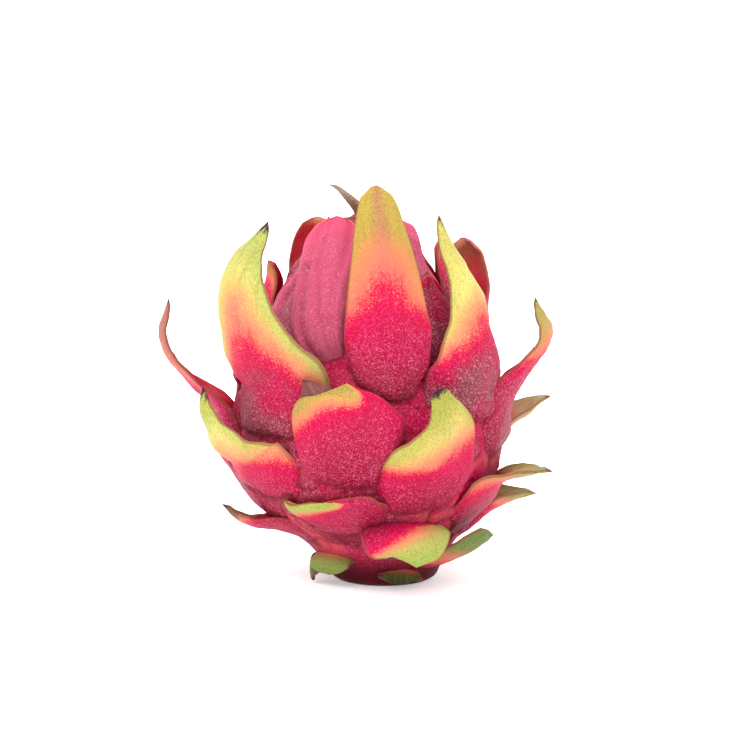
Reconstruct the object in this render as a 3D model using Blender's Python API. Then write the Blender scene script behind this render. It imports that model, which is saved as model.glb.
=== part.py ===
"""A red dragon fruit (pitaya) standing upright on its stem end, as one solid.

Lengths are in millimetres and angles in degrees. The origin is the middle of
the flat spot that the fruit rests on, +Z is up and -Y is the front. Azimuth is
measured round the fruit from the front, positive towards +X. The body leans a
little to the left of its rest spot, and every radius is measured from the
middle line of the body at that height.
"""
import math

import bmesh
import bpy
import numpy as np

# Body
REST_RADIUS = 16.0
BODY_LEAN = -6.3
LEAN_HEIGHT = 40.0
BODY_PROFILE = [
    (0.0, REST_RADIUS), (1.5, 18.5), (4.0, 20.0), (8.0, 22.5), (13.0, 26.0), (18.0, 31.0),
    (24.0, 37.5), (33.0, 44.0), (43.0, 47.5), (54.0, 48.0), (66.0, 46.0), (78.0, 41.0),
    (90.0, 34.5), (102.0, 26.0), (110.0, 21.0), (116.0, 18.3), (121.0, 16.3), (125.0, 13.0),
    (127.0, 10.5),
]
NAVEL_PROFILE = [(127.5, 8.5), (126.0, 6.5), (123.0, 4.5), (121.5, 2.5)]
BODY_SIDES = 36

# Bracts, the leafy scales of the skin
FOOT_DEPTH = 3.5
EDGE_SINK = 1.4
EDGE_THICKNESS = 0.9
LEAVING_BEFORE = 18.0
LEAVING_AFTER = 6.0
OUTER_STEPS = [-1.0, -0.86, -0.42, 0.42, 0.86, 1.0]
INNER_STEPS = [0.92, 0.36, -0.36, -0.92]

# Each bract: where its blade leaves the body, how much the blade is curled,
# how thick it is, then stations from the foot of its pad to its tip, as
# radius, azimuth, height and half width.
BRACTS = {
    "front tall": (2.8, 0.75, 3.4, [
        (42, 19, 68, 2), (47, 15.5, 71.5, 7.5), (49, 13, 78, 15.5), (48.5, 10.5, 90, 17),
        (46, 9.5, 102, 15), (43, 9, 114, 12.9), (38.5, 8, 125.5, 10.2), (34, 7, 135, 7.4),
        (31, 6.5, 139.3, 5.2), (30.5, 6.5, 140.5, 3)]),
    "left claw": (3.0, 0.9, 3.4, [
        (42, -44, 50, 8), (49, -45, 57, 15), (50.5, -45, 64, 21), (53, -42, 72, 25.5),
        (60.5, -42, 83, 21), (64.5, -43.5, 97, 15), (64, -44.5, 109, 12), (60.5, -43.5, 118, 8.4),
        (56, -41, 124, 4.4), (52, -39, 129, 0.8)]),
    "right claw": (3.0, 0.9, 3.2, [
        (42, 47, 56, 9), (49, 49, 63, 19), (50, 49.5, 70, 21.5), (53, 50, 77, 21.5),
        (52, 51, 87, 16.5), (50, 52, 96, 12.5), (47, 52, 104, 9.8), (43, 50.8, 113, 7.4),
        (37.5, 49, 121, 3.8), (33.5, 48, 130, 0.8)]),
    "front folded": (4.6, 0.45, 3.6, [
        (42, -3, 36.5, 3), (49, -4.5, 42, 11), (53.5, -6.5, 49, 19.5), (56, -7, 58, 22.5),
        (57, -7, 65.5, 21), (57, -6.5, 71.5, 13.5), (55.5, -6.5, 76.2, 3)]),
    "folded tip": (0.0, 0.5, 1.8, [
        (51, -17.5, 66, 9), (54, -18, 69.5, 8), (55.5, -19.5, 73, 5), (56, -22, 77, 0.8)]),
    "right blunt": (3.4, 0.6, 3.2, [
        (39, 26, 28, 9), (46, 25, 34, 15), (51, 25, 40.5, 19.5), (55, 26, 46.5, 19),
        (59, 27, 53, 14), (62, 27, 58.5, 11), (65, 25.5, 64, 7.8), (67.5, 22.5, 70.5, 4.5),
        (68.5, 20.5, 75.5, 3.2)]),
    "left spur": (3.0, 0.9, 3.0, [
        (34, -50, 26, 7), (43, -51, 33, 17), (49, -51, 40, 22.5), (54, -54, 45, 21),
        (60, -55.5, 50, 12), (62.5, -59, 57, 6.5), (64, -61.5, 64, 5), (63, -62, 72, 0.8)]),
    "low front": (3.4, 0.4, 2.6, [
        (29, -25, 16.5, 5.5), (34.5, -20, 21, 10.5), (40, -16.5, 25.5, 16),
        (45, -15.5, 29.5, 19.5), (49, -15.5, 32, 17.5), (51.5, -16, 35, 13.5)]),
    "low right drooping": (0.0, -0.3, 2.4, [
        (31, 11, 25.5, 9), (38, 13, 25, 14), (43, 15, 23.5, 16.5), (46.5, 16, 21, 15.5),
        (48.5, 16, 17.5, 10.5), (49, 14.5, 13, 1.8)]),
    "right drooping": (1.6, 0.6, 2.4, [
        (24, 43, 7, 5), (31, 45, 9.5, 8.5), (36, 49.5, 12, 10), (40.5, 54, 14.5, 10.3),
        (44.5, 58, 17.2, 9.6), (46.8, 60.5, 19.2, 7)]),
    "left stub": (0.0, -0.2, 2.2, [
        (16, -47, 10, 7), (23, -44, 10.5, 8.6), (26.5, -43.5, 8.5, 9), (27.5, -43.5, 5, 9)]),
    "foot lobe": (0.0, -0.2, 2.0, [
        (10, 22, 6, 4.5), (19, 17, 5.4, 7), (23.5, 14.5, 3.8, 7.8), (24, 14, 2.0, 5.5)]),
    "low left": (1.4, 0.7, 2.2, [
        (24, -64, 13, 9), (36, -68, 19.5, 17), (44, -74, 20.5, 10.5), (49, -78, 22.5, 6),
        (53, -78, 28, 0.8)]),
    "far left": (2.2, 0.55, 1.6, [
        (40, -86, 38, 9), (50, -85, 49, 20), (54, -83, 61, 16), (62, -81, 70, 10),
        (69.5, -80, 79, 7), (72.8, -80, 88, 5.5), (71.5, -80, 95, 4), (69.5, -80, 100.5, 0.8)]),
    "far right": (2.2, 0.9, 1.8, [
        (40, 82, 40, 9), (50, 81, 51, 21), (52, 80, 64, 20), (58, 81, 74, 12),
        (64, 82, 82, 9), (65.5, 83, 90, 8.5), (62.5, 83, 95.5, 6), (59.5, 82, 100.5, 0.8)]),
    "right back spur": (1.8, 0.8, 2.4, [
        (36, 122, 24, 9), (49, 121, 38, 23), (54, 118, 48, 17), (64, 114, 55.5, 8),
        (73, 113, 61, 0.8)]),
    "right spur": (1.8, 0.5, 2.2, [
        (30, 72, 18, 9), (43, 71, 28, 21), (50, 71, 36, 18.5), (59, 72, 39, 11.5),
        (67.5, 73, 41, 0.8)]),
    "low right spur": (1.4, 0.9, 2.2, [
        (24, 106, 12, 8), (39, 106, 20, 17), (51, 105, 25, 10), (62, 105, 27, 0.9)]),
    "upper left": (4.4, 0.6, 2.6, [
        (38, -17, 79, 4), (42, -21, 87, 9), (41, -25, 96, 13), (37, -27, 105, 14),
        (31, -28.5, 115, 14), (25.5, -29, 124, 11.5), (20.5, -29, 129.5, 8)]),
    "upper left fold": (3.4, 0.5, 2.4, [
        (37, -30, 78, 6), (41.5, -38, 86, 13), (40, -46, 94, 14), (37, -49, 101, 10),
        (34, -43, 109, 5), (33, -39, 114, 1.5)]),
    "upper right": (5.4, 0.9, 2.6, [
        (33, 44, 88, 8), (32.5, 45, 97, 15), (25.5, 46, 107, 17), (20.8, 46, 115, 15.5),
        (20, 44, 121.5, 14), (18, 42, 126.3, 11.5), (14.5, 40, 129, 6)]),
    "upper right low": (2.6, 0.6, 2.4, [
        (38, 48, 76, 8), (41, 46, 85, 17), (37, 43, 97, 13.5), (34, 41, 105, 6.5),
        (33, 39.5, 111, 0.9)]),
    "upper far right": (2.6, 0.8, 2.4, [
        (34, 92, 76, 10), (40, 93, 86, 19), (35, 94, 99, 15), (29, 95, 110, 9),
        (26.5, 96, 117, 4), (26, 97, 120, 0.8)]),
    "upper back right": (3.2, 0.8, 2.4, [
        (24, 136, 96, 9), (28, 137, 105, 16), (22.5, 138, 115, 12.5), (19, 139, 121, 7),
        (17, 139, 124.5, 2)]),
    "back left standing": (1.8, 0.9, 2.4, [
        (32, -146, 82, 8), (38, -147, 93, 16), (38, -148, 107, 15.5), (38, -150, 118, 12.5),
        (37, -152, 126, 7.5)]),
    "behind left claw": (2.4, 0.8, 2.4, [
        (40, -98, 62, 9), (46, -98, 73, 22), (43, -96, 87, 21), (38, -92, 99, 16),
        (35, -87, 107, 10), (34.5, -84, 113, 2.5)]),
    "behind right claw": (2.0, 0.9, 2.4, [
        (40, 112, 62, 9), (47, 114, 73, 21), (47, 119, 89, 20), (48.7, 124, 101, 17.5),
        (49, 128, 111, 15.5), (46.5, 132, 118.5, 9)]),
    "back left claw": (2.6, 0.9, 3.0, [
        (40, -129, 46, 8), (49, -129, 54, 20), (50, -128, 66, 24), (52, -126, 79, 22),
        (57.5, -125, 90, 16), (60, -125, 99, 12.5), (57, -127, 109, 8.5), (53.5, -129, 118, 0.9)]),
    "low back left": (1.8, 0.6, 2.6, [
        (28, -106, 16, 9), (40, -108, 25, 21), (48, -114, 34, 19), (54, -122, 39, 9),
        (60, -130, 41, 0.8)]),
    "foot back left": (0.0, -0.3, 2.4, [
        (18, -136, 18, 8), (25, -136, 17, 11), (31, -136, 14, 11), (32, -136, 10, 7),
        (30, -136, 6, 2)]),
    "top dried": (0.0, 0.6, 1.0, [
        (5, 60, 119, 2.6), (5, -10, 127.5, 2.9), (9, -44, 134, 2.4), (12, -54, 137.5, 1.5),
        (15, -60, 139.5, 0.8)]),
}

# Bracts out of sight, by row from the top: stations like those above, with the
# azimuth counted from the middle of the bract.
ROWS = {
    -3: (1.8, 0.7, 2.0, [
        (20, 0, 104, 6), (22, 0, 110, 10.5), (19.5, 0, 116.5, 8.5), (17.5, 0, 121, 5.5),
        (15.5, 0, 124.5, 1.2)]),
    -2: (2.0, 0.7, 2.2, [
        (25, 0, 96, 9), (28, 0, 105, 17), (22, 0, 116, 13), (16, 0, 122, 7), (14, 0, 125, 2)]),
    -1: (2.6, 0.8, 2.4, [
        (34, 0, 76, 10), (40, 0, 87, 22), (34, 0, 101, 19), (29, 0, 111, 11),
        (27, 0, 118, 5), (26, 0, 121, 0.8)]),
    0: (2.6, 0.8, 3.0, [
        (40, 0, 58, 10), (49, 0, 68, 25), (48, 0, 83, 25), (46, 0, 97, 16),
        (46, 0, 107, 10), (43, 0, 114, 5), (40, 0, 119, 0.8)]),
    1: (3.0, 0.9, 3.2, [
        (40, 0, 42, 10), (50, 0, 52, 25), (51, 0, 65, 28), (49, 0, 79, 26),
        (54, 0, 89, 17), (57, 0, 98, 11), (55, 0, 106, 6), (50, 0, 112, 0.8)]),
    2: (2.2, 0.9, 2.8, [
        (37, 0, 30, 12), (50, 0, 44, 29), (53, 0, 59, 27), (60, 0, 71, 15),
        (67, 0, 80, 10), (70, 0, 90, 6), (68, 0, 99, 0.8)]),
    3: (2.6, 0.8, 3.0, [
        (31, 0, 19, 12), (44, 0, 29, 26), (51, 0, 42, 30), (56, 0, 55, 18),
        (63, 0, 63, 9), (68, 0, 71, 0.8)]),
    4: (1.8, 0.7, 2.6, [
        (24, 0, 13, 11), (38, 0, 23, 25), (49, 0, 34, 27), (58, 0, 40, 13), (67, 0, 44, 0.8)]),
    5: (1.2, 0.4, 2.4, [
        (18, 0, 8, 10), (34, 0, 18, 22), (45, 0, 25, 18), (55, 0, 27, 9), (62, 0, 28, 0.8)]),
    6: (0.0, -0.3, 2.4, [
        (20, 0, 20, 9), (31, 0, 19, 15), (38, 0, 16, 15), (40, 0, 11, 9), (38, 0, 6, 2)]),
    7: (0.0, -0.2, 2.0, [
        (10, 0, 7, 6), (20, 0, 7, 9), (25, 0, 5.5, 8.5), (26.5, 0, 3.4, 4)]),
}

# Each row has four bracts a quarter turn apart, and is turned against the row
# above it. These are the hidden ones, by row and place in the row.
FIRST_AZIMUTH = 11.0
ROW_TURN = -50.5
HIDDEN = [
    (-3, 0), (-3, 1), (-2, 1), (-2, 2), (-1, 1), (0, 2), (1, 2), (2, 3),
    (3, 0), (4, 0), (5, 1), (6, 1), (7, 2), (7, 3),
]


def smooth_curve(points, at):
    """Values between the given rows, on a Catmull-Rom curve through them."""
    rows = np.asarray(points, float)
    padded = np.vstack([2 * rows[0] - rows[1], rows, 2 * rows[-1] - rows[-2]])
    first = np.clip(np.floor(at).astype(int), 0, len(rows) - 2)
    part = (at - first)[:, None]
    a, b, c, d = (padded[first + k] for k in range(4))
    return 0.5 * (2 * b + (c - a) * part + (2 * a - 5 * b + 4 * c - d) * part ** 2
                  + (3 * b - a - 3 * c + d) * part ** 3)


def ease(low, high, value):
    """Smooth step from 0 at low to 1 at high."""
    part = np.clip((value - low) / (high - low), 0.0, 1.0)
    return part * part * (3 - 2 * part)


_fine = smooth_curve(BODY_PROFILE, np.linspace(0, len(BODY_PROFILE) - 1, 400))


def body_radius(height):
    """Radius of the bare body at a height, from its profile."""
    return np.interp(height, _fine[:, 0], _fine[:, 1])


def body_shift(height):
    """Sideways place of the middle line at a height: an easy bend off the rest spot."""
    return BODY_LEAN * ease(0.0, LEAN_HEIGHT, height)


def place(radius, azimuth, height):
    """Point at a radius, an azimuth in radians and a height."""
    return np.stack([body_shift(height) + radius * np.sin(azimuth),
                     -radius * np.cos(azimuth), height + 0 * radius], -1)


def rings_to_object(name, rings, first, last):
    """Closed skin over equal rings of points, with a fan at each end."""
    count, around = rings.shape[:2]
    verts = np.vstack([rings.reshape(-1, 3), first, last]) * 0.001
    faces = []
    for k in range(count - 1):
        for j in range(around):
            a = k * around + j
            b = k * around + (j + 1) % around
            faces.append((a, b, b + around, a + around))
    low, high = len(verts) - 2, len(verts) - 1
    top = (count - 1) * around
    for j in range(around):
        faces.append((low, (j + 1) % around, j))
        faces.append((high, top + j, top + (j + 1) % around))
    mesh = bpy.data.meshes.new(name)
    mesh.from_pydata(verts.tolist(), [], faces)
    mesh.validate()
    obj = bpy.data.objects.new(name, mesh)
    bpy.context.scene.collection.objects.link(obj)
    return obj


def make_body():
    """The fruit body: rings up the profile, then down into the navel on top."""
    profile = BODY_PROFILE + NAVEL_PROFILE
    turn = np.linspace(0, 2 * math.pi, BODY_SIDES, endpoint=False)
    rings = np.array([place(np.full(BODY_SIDES, r), turn, z) for z, r in profile])
    low = place(np.array([0.0]), np.array([0.0]), np.array([0.0]))
    high = place(np.array([0.0]), np.array([0.0]), np.array([NAVEL_PROFILE[-1][0] - 0.5]))
    return rings_to_object("dragon_fruit", rings, low, high)


def make_bract(name, free_from, curl, thickness, stations):
    """One bract: a pad bulging from the body, running out into a free blade.

    The outer face of the pad follows the body with a flat-topped bulge whose
    edges sink under the skin. The blade is an arc of a circle across, with an
    inner face at the blade's thickness behind it.
    """
    count = len(stations) + 3
    at = np.linspace(0, len(stations) - 1, count)
    rho, phi, z, wide = smooth_curve(stations, at).T
    wide = np.maximum(wide, 0.7)
    phi = np.radians(phi)
    line = place(rho, phi, z)
    along = np.gradient(line, axis=0)
    length = np.cumsum(np.linalg.norm(along, axis=1))
    along /= np.linalg.norm(along, axis=1)[:, None]
    side = np.stack([np.cos(phi), np.sin(phi), 0 * phi], -1)
    side -= (side * along).sum(1)[:, None] * along
    side /= np.linalg.norm(side, axis=1)[:, None]
    out = np.cross(side, along)
    leaves = np.interp(free_from, at, length)
    free = ease(leaves - LEAVING_BEFORE, leaves + LEAVING_AFTER, length)
    if not free_from:
        free = np.ones(count)
    bulge = rho - body_radius(z)
    thick = np.minimum(thickness, 0.6 + 0.5 * wide)
    rings = []
    for k in range(count):
        ring = []
        for inner, steps in ((0, OUTER_STEPS), (1, INNER_STEPS)):
            u = np.array(steps)
            bend = curl * u
            depth = (EDGE_THICKNESS + (thick[k] - EDGE_THICKNESS) * (1 - u * u)) * inner
            lift = -wide[k] * (1 - np.cos(bend)) / curl - depth
            blade = (line[k] + np.outer(wide[k] * np.sin(bend) / curl, side[k])
                     + np.outer(lift, out[k]))
            flat = line[k] + np.outer(wide[k] * u, side[k])
            turn = np.arctan2(flat[:, 0] - body_shift(flat[:, 2]), -flat[:, 1])
            skin = body_radius(flat[:, 2]) - EDGE_SINK * ease(0.8, 1.0, abs(u))
            if inner:
                skin = skin - FOOT_DEPTH
            else:
                skin = skin + bulge[k] * np.sqrt(1 - abs(u) ** 5)
            pad = place(skin, turn, flat[:, 2])
            ring.append(pad * (1 - free[k]) + blade * free[k])
        rings.append(np.vstack(ring))
    rings = np.array(rings)
    ends = rings[0].mean(0), rings[-1].mean(0) + along[-1] * 0.6
    return rings_to_object(name, rings, ends[0][None], ends[1][None])


def drop_scraps(mesh):
    """Keep only the largest closed skin; slivers between bracts go."""
    work = bmesh.new()
    work.from_mesh(mesh)
    bmesh.ops.triangulate(work, faces=work.faces)
    left = set(work.faces)
    groups = []
    while left:
        group = [left.pop()]
        for face in group:
            for edge in face.edges:
                if len(edge.link_faces) == 2:
                    beside = [other for other in edge.link_faces if other in left]
                    left.difference_update(beside)
                    group.extend(beside)
        groups.append(group)
    groups.sort(key=len)
    scraps = [face for group in groups[:-1] for face in group]
    bmesh.ops.delete(work, geom=scraps, context="FACES")
    bmesh.ops.recalc_face_normals(work, faces=work.faces)
    work.to_mesh(mesh)
    work.free()


for old in list(bpy.data.objects):
    bpy.data.objects.remove(old, do_unlink=True)

# The bracts grow out of the body, so everything is joined into one solid
fruit = make_body()
group = bpy.data.collections.new("bracts")
bpy.context.scene.collection.children.link(group)
bracts = [make_bract(name, *spec) for name, spec in BRACTS.items()]
chance = np.random.default_rng(11)
for row, place_in_row in HIDDEN:
    azimuth = (FIRST_AZIMUTH + ROW_TURN * row + 90 * place_in_row + 180) % 360 - 180
    free_from, curl, thickness, stations = ROWS[row]
    reach, swing, rise = chance.uniform(-1, 1, 3)
    moved = []
    for k, (rho, phi, z, wide) in enumerate(stations):
        part = (k / (len(stations) - 1)) ** 2
        moved.append((rho * (1 + 0.06 * reach * part), azimuth + 8 * swing * part,
                      z + 4 * rise * part * (row < 6), wide))
    name = "row %d at %d" % (row, azimuth)
    bracts.append(make_bract(name, free_from, curl, thickness, moved))
for bract in bracts:
    bpy.context.scene.collection.objects.unlink(bract)
    group.objects.link(bract)

union = fruit.modifiers.new("bracts", "BOOLEAN")
union.operation = "UNION"
union.operand_type = "COLLECTION"
union.collection = group
union.solver = "MANIFOLD"
graph = bpy.context.evaluated_depsgraph_get()
joined = bpy.data.meshes.new_from_object(fruit.evaluated_get(graph))
fruit.modifiers.clear()
old_mesh = fruit.data
fruit.data = joined
bpy.data.meshes.remove(old_mesh)
drop_scraps(joined)
for bract in bracts:
    bpy.data.objects.remove(bract, do_unlink=True)
bpy.data.collections.remove(group)

skin = bpy.data.materials.new("pitaya_skin")
skin.use_nodes = True
shader = skin.node_tree.nodes["Principled BSDF"]
shader.inputs["Base Color"].default_value = (0.62, 0.06, 0.13, 1.0)
shader.inputs["Roughness"].default_value = 0.55
shader.inputs["Metallic"].default_value = 0.0
fruit.data.materials.clear()
fruit.data.materials.append(skin)
fruit.data.name = "dragon_fruit"
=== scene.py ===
"""A ripe red dragon fruit on a pale floor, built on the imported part's frame."""

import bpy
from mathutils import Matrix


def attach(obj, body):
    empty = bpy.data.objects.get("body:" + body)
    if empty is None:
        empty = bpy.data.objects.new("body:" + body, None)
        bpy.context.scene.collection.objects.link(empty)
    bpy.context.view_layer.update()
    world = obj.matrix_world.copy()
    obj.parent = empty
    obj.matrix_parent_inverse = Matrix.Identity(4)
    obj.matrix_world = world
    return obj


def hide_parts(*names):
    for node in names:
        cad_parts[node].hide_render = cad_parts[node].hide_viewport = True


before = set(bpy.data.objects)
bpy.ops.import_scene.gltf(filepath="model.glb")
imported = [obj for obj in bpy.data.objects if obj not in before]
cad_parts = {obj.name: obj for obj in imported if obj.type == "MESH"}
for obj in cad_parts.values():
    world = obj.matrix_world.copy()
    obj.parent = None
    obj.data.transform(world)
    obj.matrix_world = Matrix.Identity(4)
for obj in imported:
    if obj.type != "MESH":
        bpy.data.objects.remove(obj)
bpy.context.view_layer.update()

import math

import bpy
import numpy as np
from mathutils import Vector

# Body
# The fleshy body that shows in the valleys between the bracts. It is the fruit's own skin over
# its flesh, grown in one with the bracts. Here it is turned from its profile in millimetres, with
# soft swellings and folds. Its piece is put together further down, once the bracts are known.
REST_RADIUS = 16.0
BODY_LEAN = -6.3
LEAN_HEIGHT = 40.0
BODY_PROFILE = [
    (0.0, REST_RADIUS), (1.5, 18.5), (4.0, 20.0), (8.0, 22.5), (13.0, 26.0), (18.0, 31.0),
    (24.0, 37.5), (33.0, 44.0), (43.0, 47.5), (54.0, 48.0), (66.0, 46.0), (78.0, 41.0),
    (90.0, 34.5), (102.0, 26.0), (110.0, 21.0), (116.0, 18.3), (121.0, 16.3), (125.0, 13.0),
    (127.0, 10.5),
]
NAVEL_PROFILE = [(127.5, 8.5), (126.0, 6.5), (123.0, 4.5), (121.5, 2.5)]


def smooth_curve(points, at):
    """Rows between the given rows: a cubic through four neighbours with slopes from the chords."""
    rows = np.asarray(points, float)
    padded = np.vstack([2 * rows[0] - rows[1], rows, 2 * rows[-1] - rows[-2]])
    first = np.clip(np.floor(at).astype(int), 0, len(rows) - 2)
    part = (at - first)[:, None]
    a, b, c, d = (padded[first + k] for k in range(4))
    return 0.5 * (2 * b + (c - a) * part + (2 * a - 5 * b + 4 * c - d) * part ** 2
                  + (3 * b - a - 3 * c + d) * part ** 3)


def ease(low, high, value):
    """Smooth step: three times the square of the share of the way, less twice its cube."""
    part = np.clip((value - low) / (high - low), 0.0, 1.0)
    return part * part * (3 - 2 * part)


SWELL_WAVES = 9


def swell(points, size, seed):
    """Soft lumps round 0: sine waves of about this size in random directions, added up.

    The sum is divided by half the number of waves, which keeps it mostly between -1 and 1.
    """
    draw = np.random.default_rng(seed)
    total = 0.0
    for _ in range(SWELL_WAVES):
        way = draw.normal(size=3)
        way *= 2 * math.pi / (size * draw.uniform(0.7, 1.5) * np.linalg.norm(way))
        total = total + np.sin(points @ way + draw.uniform(0, 6.28))
    return total / (0.5 * SWELL_WAVES)


profile_rows = smooth_curve(BODY_PROFILE, np.linspace(0, len(BODY_PROFILE) - 1, 400))


def body_radius(height):
    """Radius of the bare body at a height, read off the smooth profile."""
    return np.interp(height, profile_rows[:, 0], profile_rows[:, 1])


def place(radius, azimuth, height):
    """Point on a circle round the body's middle line, which bends over from the rest spot."""
    shift = BODY_LEAN * ease(0.0, LEAN_HEIGHT, height)
    return np.stack([shift + radius * np.sin(azimuth), -radius * np.cos(azimuth),
                     height + 0 * radius], -1)


def tube_faces(rings, around, start=0):
    """Quads between rings of equal count, and a fan to one point at each end."""
    k, j = np.meshgrid(np.arange(rings - 1), np.arange(around), indexing="ij")
    a = start + k * around + j
    b = start + k * around + (j + 1) % around
    quads = np.stack([a, b, b + around, a + around], -1).reshape(-1, 4)
    j = np.arange(around)
    low = start + rings * around
    top = start + (rings - 1) * around
    fans = np.vstack([np.stack([0 * j + low, start + (j + 1) % around, start + j], -1),
                      np.stack([0 * j + low + 1, top + j, top + (j + 1) % around], -1)])
    return quads, fans


BODY_AROUND = 240
BODY_TOP = BODY_PROFILE[-1][0]
CLOSE_ROWS_UP_TO = 30
FOLD_SIZE = 15.0
FOLD_WIDTH = 0.10
FOLD_DEPTH = 0.9
LUMP_SIZE = 16.0
LUMP_HEIGHT = 0.5
NAVEL_FLOOR_DROP = 0.5
foot_rows = [(0.0, 4.0), (0.0, 8.0)]
side_heights = np.concatenate([np.linspace(0, CLOSE_ROWS_UP_TO, 40),
                               np.linspace(CLOSE_ROWS_UP_TO, BODY_TOP, 92)[1:]])
body_rows = np.array(foot_rows + list(zip(side_heights, body_radius(side_heights))))
navel_rows = smooth_curve([BODY_PROFILE[-1]] + NAVEL_PROFILE,
                          np.linspace(0, len(NAVEL_PROFILE), 18))[1:]
body_rows = np.vstack([body_rows, navel_rows])
height, radius = body_rows.T[:, :, None]
turn = np.linspace(0, 2 * math.pi, BODY_AROUND, endpoint=False)[None, :]
body_points = place(radius + 0 * turn, turn + 0 * radius, height + 0 * turn)
# A fold runs where the soft lumps pass through 0, and none near the foot
fold = np.exp(-(swell(body_points, FOLD_SIZE, 5) / FOLD_WIDTH) ** 2) * ease(10.0, 20.0, height)
lump = swell(body_points, LUMP_SIZE, 3) * LUMP_HEIGHT - FOLD_DEPTH * fold
lump *= ease(1.0, 8.0, height)
body_points = place(radius + lump, turn + 0 * radius, height + 0 * turn).reshape(-1, 3)
ends = np.array([[0.0, 0.0, 0.0], [BODY_LEAN, 0.0, NAVEL_PROFILE[-1][0] - NAVEL_FLOOR_DROP]])
body_points = np.vstack([body_points, ends])
body_quads, body_fans = tube_faces(len(body_rows), BODY_AROUND)
# 1 in the navel, where a row is high up and narrow, and 0 over the rest of the body
in_navel = ease(122.0, BODY_TOP, body_rows[:, 0]) * ease(10.5, 6.0, body_rows[:, 1])
navel = np.concatenate([np.repeat(in_navel, BODY_AROUND), [0, 1]])

# Bracts
# The leafy scales of the skin. Each grows from a thick pad on the body into a free blade, and
# all are of the fruit's own skin. The stations are those of the solid model, in millimetres and
# degrees. This section works out their skins, and the sections of their pieces follow below.
FOOT_DEPTH = 3.5
EDGE_SINK = 1.4
EDGE_THICKNESS = 0.9
LEAVING_BEFORE = 18.0
LEAVING_AFTER = 6.0

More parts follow.
